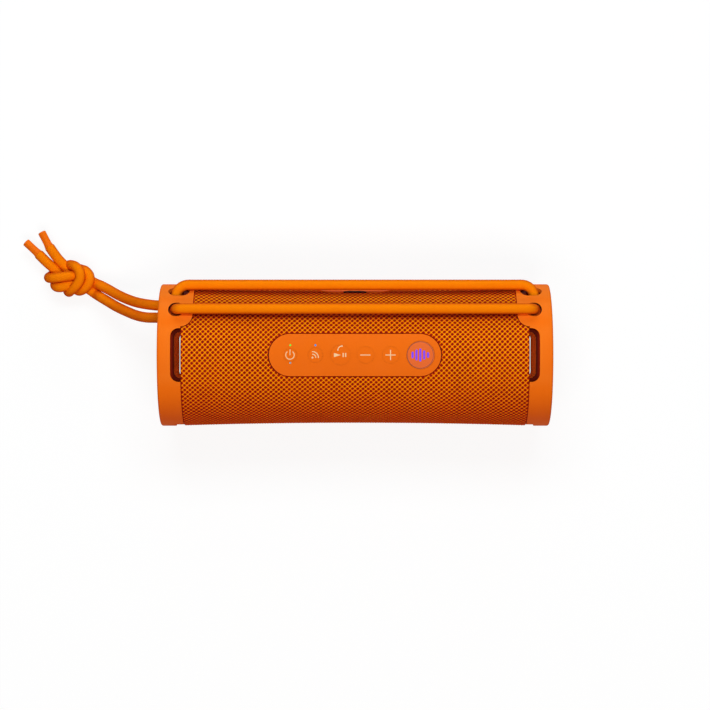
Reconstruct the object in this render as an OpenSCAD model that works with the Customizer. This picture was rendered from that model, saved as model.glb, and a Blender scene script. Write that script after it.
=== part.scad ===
// Portable cylindrical speaker lying on its base foot, with a cord along its rear top.
// X runs along the body, +Z is up through the control panel, the drivers
// face -Y and the charging port faces +Y. The origin is the centre of the
// flat underside of the base foot. "Left" is -X, "right" is +X.

/* [Body] */
// Height of the body axis above the resting plane
axis_z = 38.5; // [38.2:0.1:40]
// Radius of the knitted sleeve at mid length
sleeve_mid_r = 36.2; // [36:0.1:36.8]
// Radius of the knitted sleeve at its ends
sleeve_end_r = 37.6; // [37.4:0.1:37.7]
// Half length of the knitted sleeve
sleeve_half = 90.7; // [90.4:0.1:91]
// Thickness of the knitted sleeve
fabric_t = 0.8; // [0.6:0.1:0.8]

/* [End caps] */
// Outer radius of the end rings
ring_r = 37.7; // [37.6:0.1:38]
// Half length over the end rings
end_half = 103; // [102.5:0.5:104]
// Half width of the finger slots in the rings
slot_half = 14; // [12:0.5:15]
// Outer edge of the upper finger slot
slot_x = 96; // [95.6:0.1:96.2]
// Inner edge of the cap tab over the body
tab_x = 84.7; // [84:0.1:85.4]

/* [Cord] */
// Radius of the braided cord
cord_r = 2.75; // [2.5:0.05:2.9]
// Radius of the cord holes
cord_hole_r = 3.6; // [3.6:0.1:3.8]
// Angle of the first cord run from straight up
cord_angle_1 = 36.5; // [36.3:0.1:36.7]
// Angle of the second cord run from straight up
cord_angle_2 = 66; // [65.8:0.1:66.2]

/* [Control panel] */
// Length of the control panel
panel_l = 89.4; // [88:0.2:91]
// Width of the control panel
panel_w = 22; // [21.5:0.1:22.5]
// Outer radius of the panel skin
panel_r = 36.6; // [36.5:0.1:36.8]
// Distance between key centres
key_pitch = 13.05; // [12.8:0.05:13.2]
// Radius of the large sound key
sound_key_r = 7.2; // [6.8:0.1:7.3]

/* [Drivers] */
// Woofer centre along the body
woofer_x = -14; // [-16:1:-12]
// Tweeter centre along the body
tweeter_x = 50; // [48:1:52]
// Radius of each passive radiator plate
plate_r = 20.5; // [20:0.1:20.5]

/* [Port] */
// Angle of the port surround from straight up
port_angle = 84.4; // [84.2:0.1:84.6]
// Length of the port surround
port_l = 46; // [45:0.5:47]
// Width of the port surround
port_w = 22; // [21.5:0.1:22]

/* [Hidden] */
$fn = 64;

// Colours used by more than one node
orange = [0.95, 0.46, 0.07];
dark = [0.25, 0.25, 0.27];
gasket_black = [0.1, 0.1, 0.1];
rubber = [0.12, 0.12, 0.13];
plate_grey = [0.2, 0.2, 0.21];
magnet_grey = [0.35, 0.35, 0.37];
board_green = [0.1, 0.35, 0.15];
lead_red = [0.7, 0.1, 0.1];

// Sealed box
box_r = 33.6;
box_wall = 2;
box_half = 82;
split_y = -12;      // joint plane between the front and rear shells
joint_gap = 0.5;
baffle_y = -25;     // front face of the driver baffle
screw_r = 1.22;     // shanks of the case and end screws
screw_hole_r = 1.3;
end_screw_circle_r = 29.3;

reach = 60;         // length of cuts that run out through the skin

// ---------------------------------------------------------------- helpers
module lift() translate([0, 0, axis_z]) children();

// turns local Z to the direction angle degrees from straight up towards the rear
module at(angle) rotate([-angle, 0, 0]) children();

module mirror_x(side) mirror([side < 0 ? 1 : 0, 0, 0]) children();
module both_ends() for (side = [-1, 1]) mirror_x(side) children();

// cylinder and tube along X
module rod_x(radius, start, end)
  translate([start, 0, 0]) rotate([0, 90, 0]) cylinder(r = radius, h = end - start);
module shell_x(inner, outer, start, end) difference() {
  rod_x(outer, start, end);
  rod_x(inner, start - 1, end + 1);
}

// cylinder along Y at x, z
module rod_y(radius, x, z, start, end)
  translate([x, start, z]) rotate([-90, 0, 0]) cylinder(r = radius, h = end - start);

module pill(length, width) {
  square([length - width, width], center = true);
  for (side = [-1, 1]) translate([side * (length - width) / 2, 0]) circle(d = width);
}
module pill_bar(length, width, height = reach) linear_extrude(height) pill(length, width);

// pill-shaped tile of a cylindrical shell facing the direction angle
module tile(length, width, inner, outer, angle) intersection() {
  shell_x(inner, outer, -length, length);
  at(angle) pill_bar(length, width);
}

// pill-shaped slab between two Y planes, centred on x
module slab(length, width, x, start, end)
  translate([x, end, 0]) rotate([90, 0, 0]) pill_bar(length, width, end - start);

// chain of capsules through a list of points
module chain(points, radius) for (i = [0 : len(points) - 2]) hull() {
  translate(points[i]) sphere(r = radius, $fn = 16);
  translate(points[i + 1]) sphere(r = radius, $fn = 16);
}

// upper half of a ring section
module half_ring(radius, wall) intersection() {
  difference() {
    circle(r = radius);
    circle(r = radius - wall);
  }
  translate([-radius, 0]) square([2 * radius, radius]);
}

// ---------------------------------------------------------------- sleeve
function sleeve_r(x) = sleeve_mid_r + (sleeve_end_r - sleeve_mid_r) * pow(x / sleeve_half, 2);

// solid of revolution about X that follows the sleeve, offset outwards
module sleeve_solid(offset_r, half) rotate([0, 90, 0]) rotate_extrude($fn = 128)
  polygon(concat(
    [[0, -half]],
    [for (i = [-10 : 10]) [sleeve_r(i * half / 10) + offset_r, i * half / 10]],
    [[0, half]]));

// openings for the control panel and the port surround
module sleeve_openings() {
  pill_bar(panel_l + 0.7, panel_w + 0.7);
  at(port_angle) pill_bar(port_l + 0.5, port_w + 0.5);
}

grille_r = 35.3;
window_l = 11;
window_w = 4.2;
window_pitch = 14;

module grille_fabric() color(orange) lift() difference() {
  sleeve_solid(0, sleeve_half);
  sleeve_solid(-fabric_t, sleeve_half - 0.5);
  rod_x(grille_r, -100, 100);
  sleeve_openings();
  both_ends() tab_zone(0.15, 30, 45);
}

module grille_frame() color([0.45, 0.12, 0.06]) lift() difference() {
  union() {
    shell_x(33.8, grille_r, -sleeve_half + 0.6, sleeve_half - 0.6);
    both_ends() shell_x(35, 36.4, sleeve_half - 5, sleeve_half - 0.6);
  }
  both_ends() rod_x(35.2, box_half, 100);
  sleeve_openings();
  // windows in front of the drivers
  for (i = [-5 : 5], row = [-2 : 2]) at(-90 + row * 10)
    translate([i * window_pitch - window_l / 2, -window_w / 2, 30])
      cube([window_l, window_w, 12]);
}

// ---------------------------------------------------------------- end caps
tab_corner_r = 6.3;
tab_corner_y = 21.2;

// plan shape of the cap tab, seen from above, grown by grow
module tab_plan(grow) intersection() {
  translate([tab_x - grow, 0]) square([30, 60]);
  union() {
    translate([tab_x - grow, tab_corner_y]) square([30, 40]);
    translate([tab_x + tab_corner_r, tab_corner_y]) circle(r = tab_corner_r + grow);
    translate([tab_x + tab_corner_r, tab_corner_y - tab_corner_r - grow]) square([30, 30]);
  }
}
module tab_zone(grow, inner, outer) intersection() {
  shell_x(inner, outer, tab_x - grow, sleeve_half + 0.3);
  translate([0, 0, 4 - grow]) linear_extrude(reach) tab_plan(grow);
}

// ring section: [radius, x]
bumper_profile = [
  [36.05, sleeve_half + 0.05], [37.5, sleeve_half + 0.05],
  [ring_r, sleeve_half + 0.25], [ring_r, end_half - 1.1],
  [ring_r - 0.15, end_half - 0.55], [ring_r - 0.55, end_half - 0.15],
  [ring_r - 1.1, end_half], [32.3, end_half],
  [31.75, end_half - 0.2], [31.5, end_half - 0.7],
  [31.5, end_half - 1.95], [36.05, end_half - 1.95]];

// oblong cord holes, drilled along the way the cord leaves the ring
module cord_holes() for (i = [0, 1])
  let (radius = cord_hole_r + 0.1 * i, stretch = i == 0 ? 1 : 3.8)
    translate(run_point(cord_x[i] + 0.2 - stretch / 2, i, 0)) at(cord_dir[i])
      translate([0, 0, -18]) pill_bar(2 * radius + stretch, 2 * radius, 36);

// finger slot with rounded outer corners, open towards the body
module slot_cut(edge_x, half, corner_r) linear_extrude(reach) {
  translate([80, -half]) square([edge_x - corner_r - 80, 2 * half]);
  translate([80, -half + corner_r]) square([edge_x - 80, 2 * (half - corner_r)]);
  for (side = [-1, 1])
    translate([edge_x - corner_r, side * (half - corner_r)]) circle(r = corner_r);
}
module lower_slot() mirror([0, 0, 1]) slot_cut(96, 12.2, 3.6);

module end_bumper(side) lift() mirror_x(side) difference() {
  union() {
    rotate([0, 90, 0]) rotate_extrude($fn = 128) polygon(bumper_profile);
    tab_zone(0, 36.85, ring_r - 0.02);
  }
  cord_holes();
  slot_cut(slot_x, slot_half, 4.2);
  lower_slot();
  // flat on the front of the ring
  translate([80, -60, -20]) cube([15.2, 60 - 36.8, 40]);
}
module end_bumper_left() color(orange) end_bumper(-1);
module end_bumper_right() color(orange) end_bumper(1);

module screw_circle() for (angle = [45 : 90 : 315])
  at(angle) translate([0, 0, end_screw_circle_r]) children();

module end_frame(side) lift() mirror_x(side) difference() {
  union() {
    shell_x(32.3, 36, sleeve_half, end_half - 2);
    shell_x(32.3, 35.1, box_half + 0.05, sleeve_half + 0.1);
    shell_x(27, 34, box_half + 0.05, box_half + 2);
  }
  cord_holes();
  slot_cut(94.1, 12, 3.2);
  lower_slot();
  screw_circle() rod_x(1.5, box_half - 1, box_half + 4);
}
module end_frame_left() color([0.6, 0.22, 0.05]) end_frame(-1);
module end_frame_right() color([0.6, 0.22, 0.05]) end_frame(1);

module end_screws() color("silver") lift() both_ends() screw_circle() {
  rod_x(screw_r, box_half - 6.5, box_half + 5);
  difference() {
    rod_x(2.3, box_half + 4.1, box_half + 5.6);
    rod_x(1, box_half + 4.9, box_half + 6.9, $fn = 6);
  }
}

// ---------------------------------------------------------------- sealed box
case_screws = [for (x = [-70, 70], z = [24, -24]) [x, z]];
case_boss_r = 3.4;
case_boss_end_y = -3;

module case_rods(radius, start, end)
  for (place = case_screws) rod_y(radius, place[0], place[1], start, end);

// hollow drum with open ends and end screw bosses
module box_body() {
  difference() {
    rod_x(box_r, -box_half, box_half);
    rod_x(box_r - box_wall, -box_half + box_wall, box_half - box_wall);
    rod_x(26, -box_half - 1, box_half + 1);
  }
  both_ends() screw_circle() rod_x(3, box_half - 8, box_half - 0.5);
}
module end_boss_holes()
  both_ends() screw_circle() rod_x(screw_hole_r, box_half - 7, box_half + 1);

// webs that tie the case screw bosses to the drum wall
module boss_webs(start, end) intersection() {
  rod_x(box_r - 0.5, -box_half, box_half);
  for (place = case_screws)
    translate([place[0] - 1.5, start, place[1] > 0 ? 24 : -34]) cube([3, end - start, 10]);
}

module enclosure_front() color(dark) lift() difference() {
  union() {
    intersection() {
      box_body();
      translate([-100, baffle_y, -50]) cube([200, split_y - joint_gap - baffle_y, 100]);
    }
    // driver baffle
    intersection() {
      rod_x(box_r, -box_half, box_half);
      translate([-box_half, baffle_y, -50]) cube([2 * box_half, 2.5, 100]);
    }
    intersection() {
      case_rods(case_boss_r, baffle_y, split_y - joint_gap);
      rod_x(box_r, -box_half, box_half);
    }
  }
  // driver openings
  slab(72, 31, woofer_x, -40, -10);
  rod_y(10.6, tweeter_x, 0, -40, -10);
  end_boss_holes();
  // screw holes and their counterbores
  case_rods(1.5, -40, 0);
  case_rods(2.9, -40, -17);
}

module enclosure_rear() color(dark) lift() difference() {
  union() {
    intersection() {
      box_body();
      translate([-100, split_y, -50]) cube([200, 100, 100]);
    }
    // seat of the control panel
    intersection() {
      rod_x(box_r, -box_half, box_half);
      translate([0, 0, 25.2]) pill_bar(panel_seat_l, panel_w, 20);
    }
    case_rods(case_boss_r, split_y, case_boss_end_y);
    boss_webs(split_y, case_boss_end_y);
  }
  // pocket for the key board, with posts left standing under it
  difference() {
    translate([0, 0, 27]) pill_bar(key_pocket_l, key_pocket_w, 20);
    for (x = [-38, -27, 12, 24.5]) translate([x, 0, 20]) cylinder(r = 1.4, h = 8.15);
  }
  // slits for the key cable and the USB socket
  translate([-5, 6.9, 20]) cube([10, 1.6, 10]);
  translate([-6, 20, 3.4]) cube([12, 20, 4]);
  end_boss_holes();
  case_rods(screw_hole_r, split_y - 1, -4);
}

module enclosure_gasket() color(gasket_black) lift() difference() {
  intersection() {
    union() {
      box_body();
      case_rods(case_boss_r, split_y - joint_gap, split_y);
      boss_webs(split_y - joint_gap, split_y);
    }
    translate([-100, split_y - 0.45, -50]) cube([200, 0.4, 100]);
  }
  case_rods(1.6, -40, 0);
}

module enclosure_screws() color("silver") lift() {
  case_rods(screw_r, -18.5, -4.6);
  difference() {
    case_rods(2.6, -19.2, -17.05);
    case_rods(0.9, -20, -18.2, $fn = 6);
  }
}

// ---------------------------------------------------------------- passive radiators
frame_inner_r = 25.5;
roll_outer_r = 26;

// plate section: [radius, x]
plate_profile = [
  [0, 82.6], [14, 82.6], [14, 84.8], [plate_r - 1.5, 84.8],
  [plate_r - 1.5, 83], [plate_r, 83], [plate_r, 88], [plate_r - 0.5, 88.6],
  [plate_r - 1.4, 88.6], [plate_r - 2.4, 86.6], [12, 86.2], [0, 86.9]];

module radiator_frame(side) lift() mirror_x(side) difference() {
  union() {
    shell_x(frame_inner_r, 31.9, box_half + 2.05, box_half + 4.05);
    shell_x(27.7, 28.4, box_half + 4, box_half + 4.6);
  }
  // screw holes and the clearance round the heads
  screw_circle() rod_x(1.5, box_half, box_half + 8);
  screw_circle() rod_x(2.4, box_half + 4.06, box_half + 8);
}
module radiator_frame_left() color(dark) radiator_frame(-1);
module radiator_frame_right() color(dark) radiator_frame(1);

// rubber half roll between the frame and the plate
module radiator_surround(side) lift() mirror_x(side)
  rotate([0, 90, 0]) rotate_extrude($fn = 96) {
    base_x = box_half + 4.1;
    roll_mid_r = (plate_r + roll_outer_r) / 2 + 0.05;
    translate([roll_mid_r, base_x]) half_ring(roll_outer_r - roll_mid_r, 0.5);
    translate([frame_inner_r, base_x]) square([1.4, 0.5]);
  }
module radiator_surround_left() color(rubber) radiator_surround(-1);
module radiator_surround_right() color(rubber) radiator_surround(1);

module radiator_plate(side) lift() mirror_x(side)
  rotate([0, 90, 0]) rotate_extrude($fn = 96) polygon(plate_profile);
module radiator_plate_left() color(plate_grey) radiator_plate(-1);
module radiator_plate_right() color(plate_grey) radiator_plate(1);

// ---------------------------------------------------------------- control panel
panel_seat_l = panel_l - 0.4;
key_pocket_l = 86;
key_pocket_w = 19;
key_board_z = 28.2;
key_board_t = 1.2;
key_board_top = key_board_z + key_board_t;
key_part_z = key_board_top + 0.02;
key_base_z = 32.9;

// Keys from left to right: power, pairing, play, minus, plus, sound
first_key_x = -33.6;
key_x = concat([for (i = [0 : 4]) first_key_x + i * key_pitch], [34.1]);
key_r = [3.4, 3.9, 5.2, 4.4, 4.4, sound_key_r];
key_gap = [0.08, 0.08, 0.08, 0.08, 0.08, 0.16];
// Indicator lights: [x, y]
lights = [[key_x[0], 5.1], [key_x[0], -4.1], [key_x[1], 5.1]];

module at_lights() for (place = lights) translate([place[0], place[1], 0]) children();

module control_panel() color(orange) lift() difference() {
  tile(panel_l, panel_w, 34.02, panel_r, 0);
  for (i = [0 : 5]) translate([key_x[i], 0, 0]) cylinder(r = key_r[i] + key_gap[i], h = reach);
  at_lights() cylinder(r = 0.56, h = reach);
}
module panel_gasket() color(gasket_black) lift() difference() {
  tile(panel_seat_l, panel_w, box_r + 0.03, 34, 0);
  pill_bar(key_pocket_l, key_pocket_w);
}
module light_pipes() color("white") lift() intersection() {
  at_lights() translate([0, 0, key_board_top + 0.05]) cylinder(r = 0.5, h = 10);
  rod_x(panel_r, -60, 60);
}

// key cap flush with the panel skin, with a rim under the panel
module key(i, rim = 0.3) color(orange) lift() {
  intersection() {
    translate([key_x[i], 0, key_base_z]) cylinder(r = key_r[i], h = 10);
    rod_x(panel_r, -60, 60);
  }
  translate([key_x[i], 0, key_base_z]) cylinder(r = key_r[i] + rim, h = 0.3);
}
module key_power() key(0, rim = 0.1);
module key_pairing() key(1);
module key_play() key(2);
module key_minus() key(3);
module key_plus() key(4);
module key_sound() key(5);

module key_board() color(board_green) lift()
  translate([0, 0, key_board_z]) pill_bar(84, 17, key_board_t);
module key_switches() color("silver") lift()
  for (i = [0 : 5]) translate([key_x[i], 0, key_part_z]) {
    translate([-2.6, -2.6, 0]) cube([5.2, 5.2, 2.1]);
    cylinder(r = 1.2, h = 2.9);
  }
module microphone() color("silver") lift()
  translate([26.4, -5.4, key_part_z]) cylinder(r = 1.9, h = 1.3);

// ---------------------------------------------------------------- woofer
flange_front_y = -27.3;
woofer_roll_y = -27.35;
woofer_roll_l = 41;     // straight part of the surround
woofer_roll_mid_r = 11.95;
woofer_roll_r = 2.3;
woofer_roll_t = 0.4;

// spider section: [radius, distance forwards]
spider_profile = [
  [8.35, 0], [9.6, 0.5], [10.9, 0], [12.2, 0.5], [13.45, 0],
  [13.45, 0.35], [12.2, 0.85], [10.9, 0.35], [9.6, 0.85], [8.35, 0.35]];

module woofer_screw_rods(radius, start, end)
  for (side = [-1, 1], level = [-1, 1])
    rod_y(radius, woofer_x + side * 33, level * 14.6, start, end);

module woofer_basket() color(dark) lift() difference() {
  union() {
    slab(80, 39, woofer_x, flange_front_y, baffle_y - 0.55);
    slab(71, 30, woofer_x, -26, -14.5);
  }
  slab(68, 27, woofer_x, -28, -16);
  rod_y(11, woofer_x, 0, -40, 0);
  // openings in the back wall
  for (side = [-1, 1]) translate([woofer_x + side * 26 - 5, -17, -8]) cube([10, 5, 16]);
  woofer_screw_rods(1.3, -40, 0);
}
module woofer_gasket() color(gasket_black) lift() difference() {
  slab(79, 38, woofer_x, baffle_y - 0.5, baffle_y - 0.02);
  slab(73, 32, woofer_x, -30, -20);
  woofer_screw_rods(1.4, -40, 0);
}
module woofer_screws() color("silver") lift() {
  woofer_screw_rods(1.2, -28.2, -25.05);
  woofer_screw_rods(2, -28.4, flange_front_y - 0.05);
}

// racetrack half roll, bulging forwards
module woofer_surround() color(rubber) lift()
  translate([woofer_x, woofer_roll_y, 0]) rotate([90, 0, 0])
    for (turn = [0, 180]) rotate([0, 0, turn]) {
      translate([woofer_roll_l / 2, 0, 0])
        rotate_extrude(angle = 180, start = -90) roll_section();
      translate([-woofer_roll_l / 2, 0, 0])
        rotate([90, 0, 90]) linear_extrude(woofer_roll_l) roll_section();
    }
module roll_section() {
  translate([woofer_roll_mid_r, 0]) half_ring(woofer_roll_r, woofer_roll_t);
  translate([woofer_roll_mid_r + woofer_roll_r - woofer_roll_t, 0]) square([1.4, woofer_roll_t]);
}

// cone plate, recessed front and back
module woofer_cone() color([0.85, 0.85, 0.82]) lift() difference() {
  slab(60.2, 19.2, woofer_x, -28.6, -24.4);
  slab(58, 17, woofer_x, -30, -27.4);
  slab(58, 17, woofer_x, -26.2, -20);
}
module woofer_dust_cap() color(plate_grey) lift() intersection() {
  translate([woofer_x, -23.4, 0]) difference() {
    sphere(r = 8);
    sphere(r = 7.4);
  }
  translate([-60, -40, -20]) cube([100, 40 - 27.45, 40]);
}
module woofer_spider() color([0.75, 0.6, 0.3]) lift()
  translate([woofer_x, -17.5, 0]) rotate([90, 0, 0]) rotate_extrude() polygon(spider_profile);
module voice_coil() color([0.75, 0.4, 0.15]) lift() difference() {
  rod_y(8.3, woofer_x, 0, -26.15, -9);
  rod_y(7.9, woofer_x, 0, -30, -5);
}
// magnet with a ring gap for the voice coil
module woofer_magnet() color(magnet_grey) lift() difference() {
  rod_y(14.8, woofer_x, 0, -14.45, -1.5);
  difference() {
    rod_y(8.8, woofer_x, 0, -20, -5.5);
    rod_y(7.4, woofer_x, 0, -21, -4);
  }
}

// ---------------------------------------------------------------- tweeter
module tweeter_screw_rods(radius, start, end)
  for (side = [-1, 1]) rod_y(radius, tweeter_x + side * 11.9, 0, start, end);

module tweeter_frame() color(dark) lift() difference() {
  union() {
    rod_y(14, tweeter_x, 0, -27, baffle_y - 0.05);
    rod_y(10.5, tweeter_x, 0, -26, -22);
  }
  rod_y(8.4, tweeter_x, 0, -30, -20);
  tweeter_screw_rods(1.1, -30, -20);
}
module tweeter_dome() color([0.8, 0.8, 0.82]) lift() intersection() {
  translate([tweeter_x, -22.5, 0]) difference() {
    sphere(r = 8);
    sphere(r = 7.6);
  }
  rod_y(8, tweeter_x, 0, -40, -24);
}
module tweeter_magnet() color(magnet_grey) lift() {
  rod_y(10, tweeter_x, 0, -21.95, -12);
  rod_y(6, tweeter_x, 0, -23, -21.9);
}
module tweeter_screws() color("silver") lift() {
  tweeter_screw_rods(1, -27.8, -25.1);
  tweeter_screw_rods(1.8, -28, -27.05);
}

// ---------------------------------------------------------------- electronics
board_z = 2;
board_t = 1.6;
board_top = board_z + board_t;
post_x = 69;
post_y = [11, 25];
// Rectangular chips: [x, y] of the left front corner, size
chips = [
  [[-30, 14], [10, 10, 1.2]], [[-14, 18], [6, 6, 1]], [[14, 12], [9, 7, 1.4]],
  [[30, 16], [8, 8, 4]], [[-44, 18], [7, 5, 3]]];

module at_posts() for (x = [-post_x, post_x], y = post_y) translate([x, y, 0]) children();

module main_board() color(board_green) lift() difference() {
  translate([-71.5, 8, board_z]) cube([143, 20, board_t]);
  at_posts() cylinder(r = 1.5, h = 6);
}
module board_chips() color([0.08, 0.08, 0.09]) lift() translate([0, 0, board_top + 0.02]) {
  for (chip = chips) translate([chip[0][0], chip[0][1], 0]) cube(chip[1]);
  for (y = [12, 20]) translate([41, y, 0]) cylinder(r = 3, h = 7);
  // connector with a slot for the key cable
  translate([-5, 9, 0]) difference() {
    cube([10, 4.5, 1.6]);
    translate([-1, -1, 0.25]) cube([12, 4.2, 0.6]);
  }
}
module usb_port() color("silver") lift() difference() {
  translate([-4.5, 24.5, board_top + 0.05]) cube([9, 8.8, 3.2]);
  translate([-4.1, 26, board_top + 0.45]) cube([8.2, 10, 2.4]);
}
module board_screws() color("silver") lift() at_posts() {
  translate([0, 0, -4]) cylinder(r = 1.2, h = 8.2);
  translate([0, 0, board_top + 0.05]) cylinder(r = 2.2, h = 1.4);
}

holder_half = 70;
holder_inner_half = 67.95;
module at_battery() translate([0, 11.5, -17]) children();

module battery_cells() color([0.2, 0.45, 0.75]) lift() at_battery() both_ends() {
  rod_x(9.15, 2, 67);
  rod_x(3, 66, 67.8);
}
module battery_holder() color([0.16, 0.16, 0.17]) lift() difference() {
  union() {
    // trough under the cells
    at_battery() intersection() {
      rod_x(10.6, -holder_half, holder_half);
      translate([-80, -20, -20]) cube([160, 40, 16]);
    }
    // end walls and board posts
    both_ends() intersection() {
      rod_x(31.3, holder_inner_half, holder_half);
      translate([60, 5, -26]) cube([20, 23, 27.95]);
    }
    at_posts() translate([0, 0, -7.4]) cylinder(r = 2.6, h = 9.35);
  }
  at_battery() rod_x(9.3, -holder_inner_half, holder_inner_half);
  at_posts() translate([0, 0, -5]) cylinder(r = screw_hole_r, h = 8);
}

// wire paths: [x, y, z]
battery_path = [[-58, 22, -14], [-58, 23, -6], [-58, 29.2, -1], [-58, 29.2, 4.5], [-58, 24, 4.5]];
woofer_path = [[-40, 10, 4.4], [-40, 3, 6], [-44, -8, 9], [-44, -13.7, 10]];
tweeter_path = [[27, 10, 4.4], [33, 0, 6], [45, -8, 6], [49, -11.2, 4]];

module wire_pair(points) for (shift = [0, 1.6]) translate([shift, 0, 0]) chain(points, 0.7);

module battery_lead() color(lead_red) lift() wire_pair(battery_path);
module speaker_leads() color(lead_red) lift() {
  wire_pair(woofer_path);
  wire_pair(tweeter_path);
}
module key_cable() color([0.8, 0.6, 0.2]) lift() {
  translate([-4, 7.6, 4.05]) cube([8, 0.3, 24.1]);
  translate([-4, 7.6, 4.05]) cube([8, 3.2, 0.3]);
}

// ---------------------------------------------------------------- rear port
flap_l = port_l - 2.4;
flap_w = port_w - 2.4;
hinge_angle = port_angle + 14.2;  // the flap's knuckle, along its lower edge
hinge_r = 35.4;
usb_shift = -1.95;                // the socket sits above the middle of the port

module port_pocket() {
  intersection() {
    shell_x(34.2, 50, -40, 40);
    at(port_angle) pill_bar(flap_l + 0.3, flap_w + 0.3);
  }
  at(hinge_angle) translate([0, 0, hinge_r]) {
    rod_x(1.12, -16.3, 16.3);
    translate([-16.3, -1.12, 0]) cube([32.6, 2.24, 4]);
  }
  // finger scoop in the upper rim
  at(port_angle) translate([0, -25.5, 35]) cylinder(r = 15.6, h = 6);
}
module port_bezel() color(orange) lift() difference() {
  tile(port_l, port_w, box_r + 0.05, 36.45, port_angle);
  port_pocket();
  at(port_angle) translate([0, usb_shift, 0]) pill_bar(12, 5);
}
module port_cover() color(orange) lift() difference() {
  union() {
    intersection() {
      shell_x(34.45, 36.35, -40, 40);
      at(port_angle) pill_bar(flap_l, flap_w);
      at(hinge_angle) translate([-40, -60, 0]) cube([80, 60, 60]);
    }
    at(hinge_angle) translate([0, 0, hinge_r]) rod_x(1, -16, 16);
  }
  // corners cleared for the swing
  both_ends() at(hinge_angle) {
    translate([16, -1.6, 30]) cube([10, 4, 10]);
    translate([17.8, -1.6, 30]) rotate([0, 0, -45]) cube([10, 10, 10]);
  }
}
module port_gasket() color(gasket_black) lift() intersection() {
  shell_x(34.02, 34.38, -40, 40);
  at(port_angle) translate([0, usb_shift, 0]) linear_extrude(reach) difference() {
    pill(11.9, 4.9);
    pill(10.3, 4.1);
  }
}

// ---------------------------------------------------------------- foot
module base_foot() color([0.16, 0.14, 0.13]) lift() difference() {
  translate([0, 0, -axis_z]) pill_bar(120, 18, 5);
  sleeve_solid(0.03, 80);
  // shallow recesses in the underside
  for (i = [-1 : 1]) translate([i * 30, 0, -axis_z - 1]) pill_bar(12, 4, 1.4);
}

// ---------------------------------------------------------------- cord
// Each list holds a value for the first and the second cord run
cord_angle = [cord_angle_1, cord_angle_2];
cord_dir = [4, 98];         // directions of the cord holes
cord_bend_r = [4, 6.6];     // radii of the bends into the holes
cord_depth = [6.5, 7.75];   // depth of the straight ends below the run line
cord_x = [93.6, 94.3];      // where the runs go down into the rings
run_r = 40.5;               // radius of the cord runs
turn_r = 4.3;               // turn between the holes of the right ring

// point of cord run i at x, moved outwards along its hole
function run_point(x, i, out) = [
  x,
  run_r * sin(cord_angle[i]) + out * sin(cord_dir[i]),
  run_r * cos(cord_angle[i]) + out * cos(cord_dir[i])];
function run_end(i, side) = run_point(side * cord_x[i], i, -cord_depth[i]);
function bend_point(i, side, turn) = run_point(
  side * (cord_x[i] - cord_bend_r[i] + cord_bend_r[i] * sin(turn)),
  i, cord_bend_r[i] * (cos(turn) - 1));

// a run along the body with its bends down into the rings
function run_path(i) = concat(
  [run_end(i, -1)],
  [for (turn = [90 : -22.5 : 0]) bend_point(i, -1, turn)],
  [for (turn = [0 : 22.5 : 90]) bend_point(i, 1, turn)],
  [run_end(i, 1)]);

module strap_cord() color(orange) lift() {
  for (i = [0, 1]) chain(run_path(i), cord_r);
  // turn between the two holes inside the right ring
  chain(concat(
    [run_end(0, 1)],
    [for (turn = [0 : 22.5 : 90])
      [cord_x[0] + turn / 180, 27.9 - turn_r * cos(turn), 21.6 - turn_r * sin(turn)]],
    [run_end(1, 1)]), cord_r);
  // loose ends inside the left ring
  chain([run_end(0, -1), [-93.9, 22.6, 21.8], [-95.2, 21, 18.4], [-97.2, 20, 15.5]], cord_r);
  chain([run_end(1, -1), [-94.2, 26, 15.2], [-95.4, 26.1, 11.5], [-97.2, 26.3, 6.4]], cord_r);
}

// strands from the left ring to the knot, and ends beyond it: [x, y, z]
strand_a = [
  [-105.9, 26.4, 2.8], [-110.7, 27, -1.2], [-116.5, 28.7, -7], [-122.4, 30.9, -13.5],
  [-128.3, 33.4, -19.5], [-134.2, 36.3, -24.5], [-141.3, 39.2, -28], [-148, 41.7, -29.2]];
strand_b = [
  [-105.9, 19.8, 7.3], [-111, 20, 2.5], [-116.9, 21.2, -4.5], [-122.9, 23.5, -11.5],
  [-128.9, 26.2, -18], [-134.7, 29.5, -23], [-140.5, 32.9, -27], [-148, 37.6, -29.2]];
end_a = [[-160, 41.5, -29.7], [-167.6, 50.4, -28.9], [-172.4, 55.2, -28.9]];
end_b = [[-154.8, 41.6, -30.2], [-161.6, 52.4, -29.2], [-166.5, 59.2, -28.9]];

module strap_tail() color(orange) lift() {
  for (path = [strand_a, strand_b, end_a, end_b]) chain(path, cord_r);
  // knot
  hull() {
    translate([-149.3, 41.2, -29.2]) sphere(r = 7.9, $fn = 24);
    translate([-161.7, 41.6, -29.2]) sphere(r = 7.4, $fn = 24);
    translate([-153.7, 40.8, -29.2]) sphere(r = 8.1, $fn = 24);
  }
}

// rod that starts clear of the cord's rounded end
tip_gap = 2.8;
module tip(start, end) {
  axis = end - start;
  length = norm(axis);
  translate(start + axis * (tip_gap / length))
    rotate([0, acos(axis[2] / length), atan2(axis[1], axis[0])])
      cylinder(r = 2.15, h = length - tip_gap);
}
module cord_tips() color([0.98, 0.52, 0.08]) lift() {
  tip(end_a[2], [-179.1, 61.4, -29.7]);
  tip(end_b[2], [-170.5, 66.8, -29.7]);
}

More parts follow.
